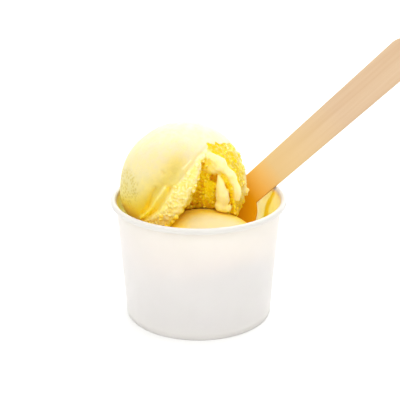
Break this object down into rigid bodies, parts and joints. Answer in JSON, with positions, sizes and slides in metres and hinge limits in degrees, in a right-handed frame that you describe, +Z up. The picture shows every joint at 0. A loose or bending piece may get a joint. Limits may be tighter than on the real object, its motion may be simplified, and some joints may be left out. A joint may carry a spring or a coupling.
{
  "type": "cup of ice cream",
  "caption": "Small white paper tub with stacked scoops of pale yellow ice cream and a flat wooden spoon leaning over its rim.",
  "frame": {"origin": "on the table, at the middle of the whole part's footprint box; the tub's axis is 28.7 mm towards -X from it", "axes": "+Z up along the tub's axis, +X towards the side that the spoon's handle leans over, -Y towards the torn side of the upper scoop"},
  "size_m": [0.1332, 0.0758, 0.1183],
  "materials": {
    "paper": "white coated paperboard, satin",
    "ice_cream": "soft pale yellow ice cream, smooth skin over a crumbly torn side",
    "wood": "plain birch, sanded and unvarnished"
  },
  "bodies": {
    "root": {"cup_wall": "paper", "cup_base": "paper", "scoop_lower": "ice_cream", "scoop_upper": "ice_cream", "spoon": "wood"}
  },
  "joints": []
}
